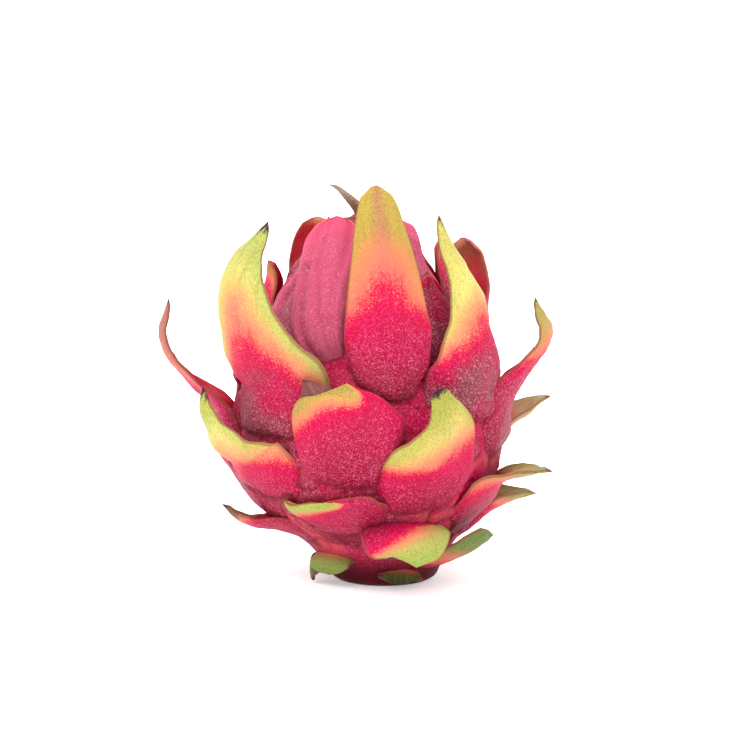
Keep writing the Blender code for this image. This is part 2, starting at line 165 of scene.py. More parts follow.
# Each bract: where its blade leaves the body, how much the blade is curled,
# how thick it is, then stations from the foot of its pad to its tip, as
# radius, azimuth, height and half width.
BRACTS = {
    "front tall": (2.8, 0.75, 3.4, [
        (42, 19, 68, 2), (47, 15.5, 71.5, 7.5), (49, 13, 78, 15.5), (48.5, 10.5, 90, 17),
        (46, 9.5, 102, 15), (43, 9, 114, 12.9), (38.5, 8, 125.5, 10.2), (34, 7, 135, 7.4),
        (31, 6.5, 139.3, 5.2), (30.5, 6.5, 140.5, 3)]),
    "left claw": (3.0, 0.9, 3.4, [
        (42, -44, 50, 8), (49, -45, 57, 15), (50.5, -45, 64, 21), (53, -42, 72, 25.5),
        (60.5, -42, 83, 21), (64.5, -43.5, 97, 15), (64, -44.5, 109, 12), (60.5, -43.5, 118, 8.4),
        (56, -41, 124, 4.4), (52, -39, 129, 0.8)]),
    "right claw": (3.0, 0.9, 3.2, [
        (42, 47, 56, 9), (49, 49, 63, 19), (50, 49.5, 70, 21.5), (53, 50, 77, 21.5),
        (52, 51, 87, 16.5), (50, 52, 96, 12.5), (47, 52, 104, 9.8), (43, 50.8, 113, 7.4),
        (37.5, 49, 121, 3.8), (33.5, 48, 130, 0.8)]),
    "front folded": (4.6, 0.45, 3.6, [
        (42, -3, 36.5, 3), (49, -4.5, 42, 11), (53.5, -6.5, 49, 19.5), (56, -7, 58, 22.5),
        (57, -7, 65.5, 21), (57, -6.5, 71.5, 13.5), (55.5, -6.5, 76.2, 3)]),
    "folded tip": (0.0, 0.5, 1.8, [
        (51, -17.5, 66, 9), (54, -18, 69.5, 8), (55.5, -19.5, 73, 5), (56, -22, 77, 0.8)]),
    "right blunt": (3.4, 0.6, 3.2, [
        (39, 26, 28, 9), (46, 25, 34, 15), (51, 25, 40.5, 19.5), (55, 26, 46.5, 19),
        (59, 27, 53, 14), (62, 27, 58.5, 11), (65, 25.5, 64, 7.8), (67.5, 22.5, 70.5, 4.5),
        (68.5, 20.5, 75.5, 3.2)]),
    "left spur": (3.0, 0.9, 3.0, [
        (34, -50, 26, 7), (43, -51, 33, 17), (49, -51, 40, 22.5), (54, -54, 45, 21),
        (60, -55.5, 50, 12), (62.5, -59, 57, 6.5), (64, -61.5, 64, 5), (63, -62, 72, 0.8)]),
    "low front": (3.4, 0.4, 2.6, [
        (29, -25, 16.5, 5.5), (34.5, -20, 21, 10.5), (40, -16.5, 25.5, 16),
        (45, -15.5, 29.5, 19.5), (49, -15.5, 32, 17.5), (51.5, -16, 35, 13.5)]),
    "low right drooping": (0.0, -0.3, 2.4, [
        (31, 11, 25.5, 9), (38, 13, 25, 14), (43, 15, 23.5, 16.5), (46.5, 16, 21, 15.5),
        (48.5, 16, 17.5, 10.5), (49, 14.5, 13, 1.8)]),
    "right drooping": (1.6, 0.6, 2.4, [
        (24, 43, 7, 5), (31, 45, 9.5, 8.5), (36, 49.5, 12, 10), (40.5, 54, 14.5, 10.3),
        (44.5, 58, 17.2, 9.6), (46.8, 60.5, 19.2, 7)]),
    "left stub": (0.0, -0.2, 2.2, [
        (16, -47, 10, 7), (23, -44, 10.5, 8.6), (26.5, -43.5, 8.5, 9), (27.5, -43.5, 5, 9)]),
    "foot lobe": (0.0, -0.2, 2.0, [
        (10, 22, 6, 4.5), (19, 17, 5.4, 7), (23.5, 14.5, 3.8, 7.8), (24, 14, 2.0, 5.5)]),
    "low left": (1.4, 0.7, 2.2, [
        (24, -64, 13, 9), (36, -68, 19.5, 17), (44, -74, 20.5, 10.5), (49, -78, 22.5, 6),
        (53, -78, 28, 0.8)]),
    "far left": (2.2, 0.55, 1.6, [
        (40, -86, 38, 9), (50, -85, 49, 20), (54, -83, 61, 16), (62, -81, 70, 10),
        (69.5, -80, 79, 7), (72.8, -80, 88, 5.5), (71.5, -80, 95, 4), (69.5, -80, 100.5, 0.8)]),
    "far right": (2.2, 0.9, 1.8, [
        (40, 82, 40, 9), (50, 81, 51, 21), (52, 80, 64, 20), (58, 81, 74, 12),
        (64, 82, 82, 9), (65.5, 83, 90, 8.5), (62.5, 83, 95.5, 6), (59.5, 82, 100.5, 0.8)]),
    "right back spur": (1.8, 0.8, 2.4, [
        (36, 122, 24, 9), (49, 121, 38, 23), (54, 118, 48, 17), (64, 114, 55.5, 8),
        (73, 113, 61, 0.8)]),
    "right spur": (1.8, 0.5, 2.2, [
        (30, 72, 18, 9), (43, 71, 28, 21), (50, 71, 36, 18.5), (59, 72, 39, 11.5),
        (67.5, 73, 41, 0.8)]),
    "low right spur": (1.4, 0.9, 2.2, [
        (24, 106, 12, 8), (39, 106, 20, 17), (51, 105, 25, 10), (62, 105, 27, 0.9)]),
    "upper left": (4.4, 0.6, 2.6, [
        (38, -17, 79, 4), (42, -21, 87, 9), (41, -25, 96, 13), (37, -27, 105, 14),
        (31, -28.5, 115, 14), (25.5, -29, 124, 11.5), (20.5, -29, 129.5, 8)]),
    "upper left fold": (3.4, 0.5, 2.4, [
        (37, -30, 78, 6), (41.5, -38, 86, 13), (40, -46, 94, 14), (37, -49, 101, 10),
        (34, -43, 109, 5), (33, -39, 114, 1.5)]),
    "upper right": (5.4, 0.9, 2.6, [
        (33, 44, 88, 8), (32.5, 45, 97, 15), (25.5, 46, 107, 17), (20.8, 46, 115, 15.5),
        (20, 44, 121.5, 14), (18, 42, 126.3, 11.5), (14.5, 40, 129, 6)]),
    "upper right low": (2.6, 0.6, 2.4, [
        (38, 48, 76, 8), (41, 46, 85, 17), (37, 43, 97, 13.5), (34, 41, 105, 6.5),
        (33, 39.5, 111, 0.9)]),
    "upper far right": (2.6, 0.8, 2.4, [
        (34, 92, 76, 10), (40, 93, 86, 19), (35, 94, 99, 15), (29, 95, 110, 9),
        (26.5, 96, 117, 4), (26, 97, 120, 0.8)]),
    "upper back right": (3.2, 0.8, 2.4, [
        (24, 136, 96, 9), (28, 137, 105, 16), (22.5, 138, 115, 12.5), (19, 139, 121, 7),
        (17, 139, 124.5, 2)]),
    "back left standing": (1.8, 0.9, 2.4, [
        (32, -146, 82, 8), (38, -147, 93, 16), (38, -148, 107, 15.5), (38, -150, 118, 12.5),
        (37, -152, 126, 7.5)]),
    "behind left claw": (2.4, 0.8, 2.4, [
        (40, -98, 62, 9), (46, -98, 73, 22), (43, -96, 87, 21), (38, -92, 99, 16),
        (35, -87, 107, 10), (34.5, -84, 113, 2.5)]),
    "behind right claw": (2.0, 0.9, 2.4, [
        (40, 112, 62, 9), (47, 114, 73, 21), (47, 119, 89, 20), (48.7, 124, 101, 17.5),
        (49, 128, 111, 15.5), (46.5, 132, 118.5, 9)]),
    "back left claw": (2.6, 0.9, 3.0, [
        (40, -129, 46, 8), (49, -129, 54, 20), (50, -128, 66, 24), (52, -126, 79, 22),
        (57.5, -125, 90, 16), (60, -125, 99, 12.5), (57, -127, 109, 8.5), (53.5, -129, 118, 0.9)]),
    "low back left": (1.8, 0.6, 2.6, [
        (28, -106, 16, 9), (40, -108, 25, 21), (48, -114, 34, 19), (54, -122, 39, 9),
        (60, -130, 41, 0.8)]),
    "foot back left": (0.0, -0.3, 2.4, [
        (18, -136, 18, 8), (25, -136, 17, 11), (31, -136, 14, 11), (32, -136, 10, 7),
        (30, -136, 6, 2)]),
    "top dried": (0.0, 0.6, 1.0, [
        (5, 60, 119, 2.6), (5, -10, 127.5, 2.9), (9, -44, 134, 2.4), (12, -54, 137.5, 1.5),
        (15, -60, 139.5, 0.8)]),
}

# Bracts out of sight, by row from the top: stations like those above, with the
# azimuth counted from the middle of the bract.
ROWS = {
    -3: (1.8, 0.7, 2.0, [
        (20, 0, 104, 6), (22, 0, 110, 10.5), (19.5, 0, 116.5, 8.5), (17.5, 0, 121, 5.5),
        (15.5, 0, 124.5, 1.2)]),
    -2: (2.0, 0.7, 2.2, [
        (25, 0, 96, 9), (28, 0, 105, 17), (22, 0, 116, 13), (16, 0, 122, 7), (14, 0, 125, 2)]),
    -1: (2.6, 0.8, 2.4, [
        (34, 0, 76, 10), (40, 0, 87, 22), (34, 0, 101, 19), (29, 0, 111, 11),
        (27, 0, 118, 5), (26, 0, 121, 0.8)]),
    0: (2.6, 0.8, 3.0, [
        (40, 0, 58, 10), (49, 0, 68, 25), (48, 0, 83, 25), (46, 0, 97, 16),
        (46, 0, 107, 10), (43, 0, 114, 5), (40, 0, 119, 0.8)]),
    1: (3.0, 0.9, 3.2, [
        (40, 0, 42, 10), (50, 0, 52, 25), (51, 0, 65, 28), (49, 0, 79, 26),
        (54, 0, 89, 17), (57, 0, 98, 11), (55, 0, 106, 6), (50, 0, 112, 0.8)]),
    2: (2.2, 0.9, 2.8, [
        (37, 0, 30, 12), (50, 0, 44, 29), (53, 0, 59, 27), (60, 0, 71, 15),
        (67, 0, 80, 10), (70, 0, 90, 6), (68, 0, 99, 0.8)]),
    3: (2.6, 0.8, 3.0, [
        (31, 0, 19, 12), (44, 0, 29, 26), (51, 0, 42, 30), (56, 0, 55, 18),
        (63, 0, 63, 9), (68, 0, 71, 0.8)]),
    4: (1.8, 0.7, 2.6, [
        (24, 0, 13, 11), (38, 0, 23, 25), (49, 0, 34, 27), (58, 0, 40, 13), (67, 0, 44, 0.8)]),
    5: (1.2, 0.4, 2.4, [
        (18, 0, 8, 10), (34, 0, 18, 22), (45, 0, 25, 18), (55, 0, 27, 9), (62, 0, 28, 0.8)]),
    6: (0.0, -0.3, 2.4, [
        (20, 0, 20, 9), (31, 0, 19, 15), (38, 0, 16, 15), (40, 0, 11, 9), (38, 0, 6, 2)]),
    7: (0.0, -0.2, 2.0, [
        (10, 0, 7, 6), (20, 0, 7, 9), (25, 0, 5.5, 8.5), (26.5, 0, 3.4, 4)]),
}

# Each row has four bracts a quarter turn apart, and is turned against the row
# above it. These are the hidden ones, by row and place in the row.
FIRST_AZIMUTH = 11.0
ROW_TURN = -50.5
HIDDEN = [
    (-3, 0), (-3, 1), (-2, 1), (-2, 2), (-1, 1), (0, 2), (1, 2), (2, 3),
    (3, 0), (4, 0), (5, 1), (6, 1), (7, 2), (7, 3),
]
chance = np.random.default_rng(11)
row_of = {}
for row, place_in_row in HIDDEN:
    azimuth = (FIRST_AZIMUTH + ROW_TURN * row + 90 * place_in_row + 180) % 360 - 180
    free_from, curl, thickness, stations = ROWS[row]
    reach, swing, rise = chance.uniform(-1, 1, 3)
    moved = []
    for k, (rho, phi, z, wide) in enumerate(stations):
        part = (k / (len(stations) - 1)) ** 2
        moved.append((rho * (1 + 0.06 * reach * part), azimuth + 8 * swing * part,
                      z + 4 * rise * part * (row < 6), wide))
    name = "row %d at %d" % (row, azimuth)
    BRACTS[name] = (free_from, curl, thickness, moved)
    row_of[name] = row

# Colouring of each bract: the station where its crimson ends, how dusky its pad is, how folded,
# how dark its point is, then the colours of the blade's middle and of its end.
FINISH = {
    "front tall": (4.0, 0.25, 0.0, 0.0, (0.50, 0.37, 0.07), (0.48, 0.22, 0.12)),
    "left claw": (3.36, 0.6, 0.0, 1.0, (0.66, 0.60, 0.17), (0.45, 0.50, 0.13)),
    "right claw": (4.25, 0.8, 0.0, 1.0, (0.76, 0.70, 0.21), (0.60, 0.54, 0.14)),
    "front folded": (4.15, 0.15, 0.0, 0.0, (0.60, 0.38, 0.10), (0.42, 0.30, 0.08)),
    "folded tip": (0.2, 0.2, 0.3, 0.8, (0.26, 0.10, 0.09), (0.20, 0.06, 0.07)),
    "right blunt": (3.05, 0.1, 0.0, 1.0, (0.72, 0.60, 0.18), (0.40, 0.42, 0.08)),
    "left spur": (2.5, 0.1, 0.0, 1.0, (0.68, 0.66, 0.23), (0.44, 0.48, 0.10)),
    "low front": (3.6, 0.1, 0.0, 0.0, (0.50, 0.50, 0.12), (0.40, 0.46, 0.10)),
    "low right drooping": (2.2, 0.0, 0.2, 0.0, (0.50, 0.44, 0.13), (0.38, 0.46, 0.10)),
    "right drooping": (0.7, 0.0, 0.0, 0.0, (0.19, 0.26, 0.07), (0.15, 0.22, 0.06)),
    "left stub": (0.9, 0.0, 0.0, 0.0, (0.32, 0.36, 0.09), (0.22, 0.30, 0.07)),
    "foot lobe": (1.0, 0.0, 0.0, 0.0, (0.10, 0.13, 0.03), (0.04, 0.05, 0.015)),
    "low left": (2.2, 0.1, 0.0, 1.0, (0.36, 0.16, 0.09), (0.20, 0.11, 0.06)),
    "far left": (3.2, 0.2, 0.0, 1.0, (0.50, 0.17, 0.15), (0.42, 0.15, 0.13)),
    "far right": (3.6, 0.3, 0.0, 1.0, (0.62, 0.36, 0.15), (0.40, 0.34, 0.10)),
    "right back spur": (2.3, 0.2, 0.0, 1.0, (0.52, 0.30, 0.15), (0.38, 0.34, 0.13)),
    "right spur": (2.0, 0.1, 0.0, 1.0, (0.52, 0.36, 0.14), (0.30, 0.36, 0.09)),
    "low right spur": (1.5, 0.1, 0.0, 1.0, (0.40, 0.36, 0.12), (0.26, 0.28, 0.08)),
    "upper left": (6.1, 0.25, 1.0, 0.0, (0.58, 0.095, 0.17), (0.58, 0.12, 0.19)),
    "upper left fold": (7.0, 1.0, 0.9, 0.0, (0.42, 0.05, 0.08), (0.40, 0.06, 0.10)),
    "upper right": (6.1, 0.1, 0.3, 0.0, (0.60, 0.085, 0.15), (0.60, 0.13, 0.18)),
    "upper right low": (3.7, 0.8, 0.8, 0.8, (0.42, 0.08, 0.08), (0.30, 0.08, 0.08)),
    "upper far right": (3.9, 0.5, 0.4, 0.6, (0.58, 0.20, 0.12), (0.46, 0.20, 0.10)),
    "upper back right": (3.2, 0.5, 0.4, 0.4, (0.52, 0.16, 0.11), (0.46, 0.20, 0.10)),
    "back left standing": (3.2, 0.2, 0.0, 0.0, (0.62, 0.22, 0.10), (0.66, 0.45, 0.20)),
    "behind left claw": (4.2, 0.1, 0.0, 0.0, (0.60, 0.20, 0.08), (0.45, 0.16, 0.06)),
    "behind right claw": (3.2, 0.1, 0.0, 0.0, (0.72, 0.08, 0.06), (0.62, 0.20, 0.12)),
    "back left claw": (4.4, 0.4, 0.0, 1.0, (0.62, 0.46, 0.15), (0.42, 0.34, 0.12)),
    "low back left": (2.5, 0.1, 0.0, 1.0, (0.48, 0.42, 0.12), (0.30, 0.32, 0.08)),
    "foot back left": (1.4, 0.0, 0.0, 0.0, (0.30, 0.36, 0.08), (0.20, 0.28, 0.06)),
    "top dried": (0.0, 0.0, 0.0, 0.9, (0.26, 0.14, 0.07), (0.52, 0.44, 0.38)),
}
ROW_FINISH = {
    -3: (3.4, 0.6, 0.3, 0.4, (0.50, 0.14, 0.11), (0.40, 0.20, 0.10)),
    -2: (3.4, 0.5, 0.6, 0.0, (0.56, 0.16, 0.11), (0.50, 0.18, 0.10)),
    -1: (4.2, 0.5, 0.3, 1.0, (0.60, 0.34, 0.12), (0.42, 0.26, 0.10)),
    0: (3.9, 0.4, 0.0, 1.0, (0.66, 0.48, 0.14), (0.52, 0.36, 0.12)),
    1: (4.3, 0.4, 0.0, 1.0, (0.66, 0.52, 0.16), (0.48, 0.42, 0.12)),
    2: (3.4, 0.2, 0.0, 1.0, (0.66, 0.50, 0.15), (0.42, 0.40, 0.11)),
    3: (2.9, 0.1, 0.0, 1.0, (0.66, 0.54, 0.16), (0.38, 0.40, 0.09)),
    4: (2.3, 0.1, 0.0, 1.0, (0.52, 0.42, 0.13), (0.32, 0.36, 0.09)),
    5: (1.8, 0.1, 0.0, 1.0, (0.44, 0.38, 0.12), (0.30, 0.34, 0.08)),
    6: (1.4, 0.0, 0.0, 0.0, (0.30, 0.36, 0.08), (0.20, 0.28, 0.06)),
    7: (1.0, 0.0, 0.0, 0.0, (0.16, 0.20, 0.05), (0.08, 0.10, 0.03)),
}

# How far the edge of the crimson slants towards one side of the bract, and how far it bows
SKEW = {"right blunt": -0.35, "low front": -0.75, "front folded": -0.3,
        "low right drooping": 0.4, "left claw": -0.1, "right claw": -0.15}
BOW = {"left claw": 0.8, "front folded": 0.45, "right blunt": 0.1, "front tall": 0.22}
USUAL_BOW = 0.30

# Bracts whose inner face fades to the colour of the blade
PALE_INSIDE = ("far right", "right back spur", "right spur", "low right spur", "low left",
               "left spur", "right blunt", "folded tip", "top dried", "behind right claw")

# Bracts with their end colour along the middle line, bracts with a rosy bloom, and bracts whose
# right side stays crimson up to the end
RIDGED = ("front tall",)
VEILED = ("upper left", "upper left fold", "upper right")
PINK_SIDE = {"front folded": 0.85, "low front": 0.9}

ALONG = 84
HALF_AROUND = 34
AROUND = 2 * HALF_AROUND - 2
# Rounding of the tip, least half widths, size and height of lumps and ripple, the grooves of a
# folded bract, and a thin blade's thickness as a base plus a share of its half width
TIP_LENGTH = 2.5
TIP_END_SHARE = 0.15
LEAST_HALF_WIDTH = 0.9
BROAD_HALF_WIDTH = 7.0
BIG_LUMP = (14.0, 0.50)
SMALL_LUMP = (5.0, 0.16)
EDGE_RIPPLE = (15.0, 0.35)
GROOVES = 3
GROOVE_WIDTH = 1.1
GROOVE_DEPTH = 1.3
THIN_BLADE = (0.6, 0.5)
PASSAGE_SLOPE = 0.62
SEED_SHIFT = 0.37
MM = 0.001


def upright(values):
    """The values as a column, so that they vary along a bract and stay the same across it."""
    return values[:, None]


def bract_skin(name, seed):
    """Closed skin of one bract, as points and marks on a grid of rings.

    Across, a station runs once over the outer face and back along the inner one. The outer face
    of the pad follows the body plus a flat-topped bulge whose edges sink under the skin; that of
    the blade is an arc of a circle. The inner face lies the blade's thickness behind, and both
    meet in a half round edge. Between pad and blade the two forms are mixed smoothly. Lumps, a
    ripple of the free edge and, on folded bracts, wandering grooves move the skin in and out.
    """
    free_from, curl, thickness, stations = BRACTS[name]
    pink, dusk, folded, dark, middle, end = FINISH.get(name) or ROW_FINISH[row_of[name]]
    last = len(stations) - 1
    at = np.linspace(0, last, ALONG)
    rho, phi, z, wide = smooth_curve(stations, at).T
    phi = np.radians(phi)
    line = place(rho, phi, z)
    along = np.gradient(line, axis=0)
    reached = np.cumsum(np.linalg.norm(along, axis=1))
    tip = np.sqrt(np.clip((reached[-1] - reached) / TIP_LENGTH, 0.0, 1.0))
    tip = tip * (1 - TIP_END_SHARE) + TIP_END_SHARE
    wide = np.maximum(wide, LEAST_HALF_WIDTH) * tip
    along /= np.linalg.norm(along, axis=1)[:, None]
    side = np.stack([np.cos(phi), np.sin(phi), 0 * phi], -1)
    side -= (side * along).sum(1)[:, None] * along
    side /= np.linalg.norm(side, axis=1)[:, None]
    out = np.cross(side, along)
    leaves = np.interp(free_from, at, reached)
    free = ease(leaves - LEAVING_BEFORE, leaves + LEAVING_AFTER, reached)
    if not free_from:
        free = np.ones(ALONG)
    bulge = rho - body_radius(z)
    thick = np.minimum(thickness, THIN_BLADE[0] + THIN_BLADE[1] * wide) * tip
    edge = np.minimum(EDGE_THICKNESS, thick)

    steps = -np.cos(np.linspace(0, math.pi, HALF_AROUND))
    u = np.concatenate([steps, steps[-2:0:-1]])[None, :]
    inner = np.concatenate([np.zeros(HALF_AROUND), np.ones(HALF_AROUND - 2)])[None, :]
    rim_share = 0.5 * upright(edge / wide)
    rim = np.clip((abs(u) - 1 + rim_share) / rim_share, 0, 1)
    rim = 0.5 * upright(edge) * (1 - np.sqrt(1 - rim ** 2))
    depth = inner * (upright(edge) + upright(thick - edge) * (1 - u * u)) + rim * (1 - 2 * inner)
    bend = curl * u
    lift = -upright(wide) * (1 - np.cos(bend)) / curl - depth
    reach_side = upright(wide) * np.sin(bend) / curl
    blade = (line[:, None] + reach_side[..., None] * side[:, None]
             + lift[..., None] * out[:, None])
    flat = line[:, None] + (upright(wide) * u)[..., None] * side[:, None]
    shift = BODY_LEAN * ease(0.0, LEAN_HEIGHT, flat[..., 2])
    turn = np.arctan2(flat[..., 0] - shift, -flat[..., 1])
    skin = body_radius(flat[..., 2]) - EDGE_SINK * ease(0.8, 1.0, abs(u))
    skin = skin - inner * FOOT_DEPTH * (1 - abs(u) ** 8)
    skin = skin + (1 - inner) * upright(bulge) * np.sqrt(1 - abs(u) ** 5)
    pad = place(skin, turn, flat[..., 2])
    points = pad * (1 - free)[:, None, None] + blade * free[:, None, None]

    room = upright(np.minimum(1.0, wide / BROAD_HALF_WIDTH))
    lumps = (swell(points, BIG_LUMP[0], seed) * BIG_LUMP[1]
             + swell(points, SMALL_LUMP[0], seed + 50) * SMALL_LUMP[1])
    ripple = (swell(points, EDGE_RIPPLE[0], seed + 90) * EDGE_RIPPLE[1]
              * ease(0.6, 1.0, abs(u)) * upright(free))
    groove = 0.0
    for k in range(GROOVES):
        wander = u - (0.55 * (k - 1) + 0.16 * np.sin(0.06 * upright(reached) + seed + 2.1 * k))
        groove = groove - np.exp(-(wander * upright(wide) / GROOVE_WIDTH) ** 2)
    groove = groove * folded * GROOVE_DEPTH * (1 - inner) * ease(0.0, 12.0, upright(reached))
    points = points + ((lumps + ripple + groove) * room)[..., None] * out[:, None]

    # Tone runs from -1 at the foot over 0, where the crimson ends, to 1 at the tip
    tone = np.where(at < pink, (at - pink) / max(pink, 0.1), (at - pink) / (last - pink))
    tone = np.clip(tone, -1, 1)
    gentle = tone * (PASSAGE_SLOPE + (1 - PASSAGE_SLOPE) * tone)
    tone = upright(np.where(tone > 0, gentle, tone)) + 0 * u
    bow = BOW.get(name, USUAL_BOW)
    pinker = PINK_SIDE.get(name, 0.0) * ease(0.1, 0.7, u)
    tone = tone - pinker * np.maximum(tone + 0.15, 0.0)
    tone = tone + (bow * (u * u - 0.3) + SKEW.get(name, 0.0) * u) * (1 - abs(tone)) ** 2
    full = np.ones_like(tone)
    marks = {
        "tone": tone, "across": u * full, "face": inner * full * (curl > 0),
        "free": upright(free) * full, "ridge": full * (name in RIDGED),
        "veil": full * (name in VEILED),
        "flow": np.stack([reach_side * MM, upright(reached) * MM * full, full * seed * SEED_SHIFT],
                         -1),
        "kind": np.stack([full * dusk, full * dark, full * (name in PALE_INSIDE)], -1),
        "middle": full[..., None] * np.array(middle), "end": full[..., None] * np.array(end),
    }
    ends = np.stack([points[0].mean(0), points[-1].mean(0) + along[-1] * 0.25])
    points = np.vstack([points.reshape(-1, 3), ends])
    for mark, values in marks.items():
        values = values.reshape((-1,) + values.shape[2:])
        marks[mark] = np.concatenate([values, values[:1], values[-1:]])
    return points, marks


# Which bracts belong to which piece. Their order also sets the seed of each one's lumps.
FIRST_SEED = 100
SEED_STEP = 3
crown_names = ["upper left", "upper left fold", "upper right", "upper right low",
               "upper far right", "upper back right", "back left standing", "top dried"]
claw_names = ["front tall", "left claw", "right claw", "behind left claw",
              "behind right claw", "back left claw"]
side_names = ["front folded", "folded tip", "right blunt", "left spur", "far left", "far right",
              "right back spur"]
low_names = ["low front", "low right drooping", "right drooping", "left stub", "foot lobe",
             "low left", "right spur", "low right spur", "low back left", "foot back left"]
for name, row in row_of.items():
    (crown_names if row < 0 else claw_names if row < 2 else side_names if row < 4
     else low_names).append(name)
order = crown_names + claw_names + side_names + low_names
skins = {name: bract_skin(name, FIRST_SEED + SEED_STEP * k) for k, name in enumerate(order)}

# Valley shade
# Painted shade along the lines where one pad meets the next or the body, where shade falls.
# Nothing
# is made here: the skins are laid out on the unrolled body, and each point is marked by how near
# its neighbour's skin comes. Height of a cell in millimetres, and the count of cells up the body
# and round it. A bract lies on the body where its free share is below the limit. The painted
# crease shade is full where two skins are nearer than the first distance in millimetres, and gone
# beyond the second.
CELL = 0.6
CELLS_UP = 250
CELLS_ROUND = 470
ON_BODY_BELOW = 0.6
CREASE_SHADE_FULL = 0.15
CREASE_SHADE_GONE = 1.3
NO_BRACT = -1
BARE_BODY = -2


def cell_place(points):
    """Where points fall on the unrolled body: column round it, row up it, and height off it."""
    shift = BODY_LEAN * ease(0.0, LEAN_HEIGHT, points[:, 2])
    radius = np.hypot(points[:, 0] - shift, points[:, 1])
    column = (np.arctan2(points[:, 0] - shift, -points[:, 1]) / (2 * math.pi) % 1) * CELLS_ROUND
    return column, np.clip(points[:, 2] / CELL, 0, CELLS_UP - 2), radius


def lay_out(grid):
    """Height of one pad over each cell of the unrolled body, from a fourfold finer grid."""
    sheet = np.zeros(CELLS_ROUND * CELLS_UP)
    for part in (0.25, 0.5, 0.75, 1.0):
        rows = grid[:-1] * (1 - part) + grid[1:] * part
        for side_part in (0.0, 0.25, 0.5, 0.75):
            fine = rows[:, :-1] * (1 - side_part) + rows[:, 1:] * side_part
            column, row, radius = cell_place(fine.reshape(-1, 3))
            cell = (column.astype(int) % CELLS_ROUND) * CELLS_UP + row.astype(int)
            np.maximum.at(sheet, cell, radius)
    return sheet


top = np.zeros(CELLS_ROUND * CELLS_UP)
second = np.zeros_like(top)
top_owner = np.full(len(top), NO_BRACT)
for owner, name in enumerate(order):
    points, marks = skins[name]
    on_body = marks["free"][:-2].reshape(ALONG, AROUND)[:, 0] < ON_BODY_BELOW
    if on_body.sum() > 1:
        sheet = lay_out(points[:-2].reshape(ALONG, AROUND, 3)[on_body, :HALF_AROUND])
        higher = sheet > top
        second = np.where(higher, top, np.maximum(second, sheet))
        top_owner = np.where(higher, owner, top_owner)
        top = np.where(higher, sheet, top)


def crease_shade_mask(points, owner):
    """1 where a neighbour's skin comes up level with this one, falling smoothly to 0 away from it.

    It is the mask of the painted shade in the valleys. The neighbour's height is read from the
    four nearest cells, weighted by nearness.
    """
    column, row, radius = cell_place(points)
    other = 0.0
    for step_round in (0, 1):
        for step_up in (0, 1):
            cell = ((column - 0.5 + step_round).astype(int) % CELLS_ROUND) * CELLS_UP
            cell = cell + np.clip((row - 0.5 + step_up).astype(int), 0, CELLS_UP - 1)
            high = np.where(top_owner[cell] == owner, second[cell], top[cell])
            part = ((column - 0.5) % 1 if step_round else 1 - (column - 0.5) % 1)
            part = part * ((row - 0.5) % 1 if step_up else 1 - (row - 0.5) % 1)
            other = other + high * part
    return 1 - ease(CREASE_SHADE_FULL, CREASE_SHADE_GONE, abs(radius - other))


# Skin finish
# A waxy, matt skin, crimson with a pale frosted vein pattern on the pads, running through orange
# and yellow to green and a dried purple point. It is one finish for all bracts, led by the marks
# on their points, and the body's own finish is made from the same steps.
SOFT_SKIN_RADIUS = (1.0, 0.35, 0.25)
SOFT_SKIN_SCALE = 0.0015
SKIN_GLOSS = 0.07
SKIN_SOFTNESS = 0.10
RELIEF_HEIGHT = 0.0003
VEIN_SCALE = 1350.0
# Colour of the painted shade in the valleys between pads and in the body's folds
VALLEY_SHADE = (0.10, 0.002, 0.008)


def add(tree, kind, settings=None, **inputs):
    """New node with its settings; each input is a link when given a socket, else a value.

    An input is named by its label with _ for a space, or by i and its number, as in i0.
    """
    made = tree.nodes.new(kind)
    for key, value in (settings or {}).items():
        setattr(made, key, value)
    for key, value in inputs.items():
        socket = made.inputs[int(key[1:])] if key[0] == "i" and key[1:].isdigit() \
            else made.inputs[key.replace("_", " ")]
        if isinstance(value, bpy.types.NodeSocket):
            tree.links.new(value, socket)
        else:
            socket.default_value = value
    return made


def math_node(tree, operation, first, second=0.0, third=0.0):
    """One arithmetic step on values or sockets."""
    return add(tree, "ShaderNodeMath", {"operation": operation}, i0=first, i1=second,
               i2=third).outputs[0]


def times(tree, first, *others):
    """Product of several amounts."""
    for other in others:
        first = math_node(tree, "MULTIPLY", first, other)
    return first


def nudge(tree, base, wave, amount):
    """The base plus an amount times how far the wave is from its middle value, one half."""
    return math_node(tree, "MULTIPLY_ADD", math_node(tree, "SUBTRACT", wave, 0.5), amount, base)


def ramp(tree, amount, stops):
    """Colour that runs through the given stops as the amount goes from 0 to 1."""
    made = add(tree, "ShaderNodeValToRGB", Fac=amount)
    line = made.color_ramp
    while len(line.elements) > 1:
        line.elements.remove(line.elements[0])
    line.elements[0].position = stops[0][0]
    line.elements[0].color = (*stops[0][1], 1)
    for position, colour in stops[1:]:
        line.elements.new(position).color = (*colour, 1)
    return made.outputs[0]


def blend(tree, amount, first, second, kind="MIX"):
    """Mix of two colours by an amount."""
    made = add(tree, "ShaderNodeMix", {"data_type": "RGBA", "blend_type": kind})
    for socket, value in ((made.inputs[0], amount), (made.inputs[6], first),
                          (made.inputs[7], second)):
        if isinstance(value, bpy.types.NodeSocket):
            tree.links.new(value, socket)
        elif isinstance(value, tuple):
            socket.default_value = (*value, 1)
        else:
            socket.default_value = value
    return made.outputs[2]


def span(tree, amount, low, high, to_low=0.0, to_high=1.0):
    """Smooth step of an amount from one range to another."""
    return add(tree, "ShaderNodeMapRange", {"interpolation_type": "SMOOTHSTEP"}, i0=amount,
               i1=low, i2=high, i3=to_low, i4=to_high).outputs[0]


def mark_of(tree, name, vector=False):
    """A per-point mark of the mesh."""
    made = tree.nodes.new("ShaderNodeAttribute")
    made.attribute_name = name
    return made.outputs["Vector" if vector else "Fac"]


def noise(tree, place_socket, scale, detail=2.0, rough=0.5, warp=0.0):
    """Noise value from 0 to 1 at a scale per metre."""
    return add(tree, "ShaderNodeTexNoise", Vector=place_socket, Scale=scale, Detail=detail,
               Roughness=rough, Distortion=warp).outputs[0]


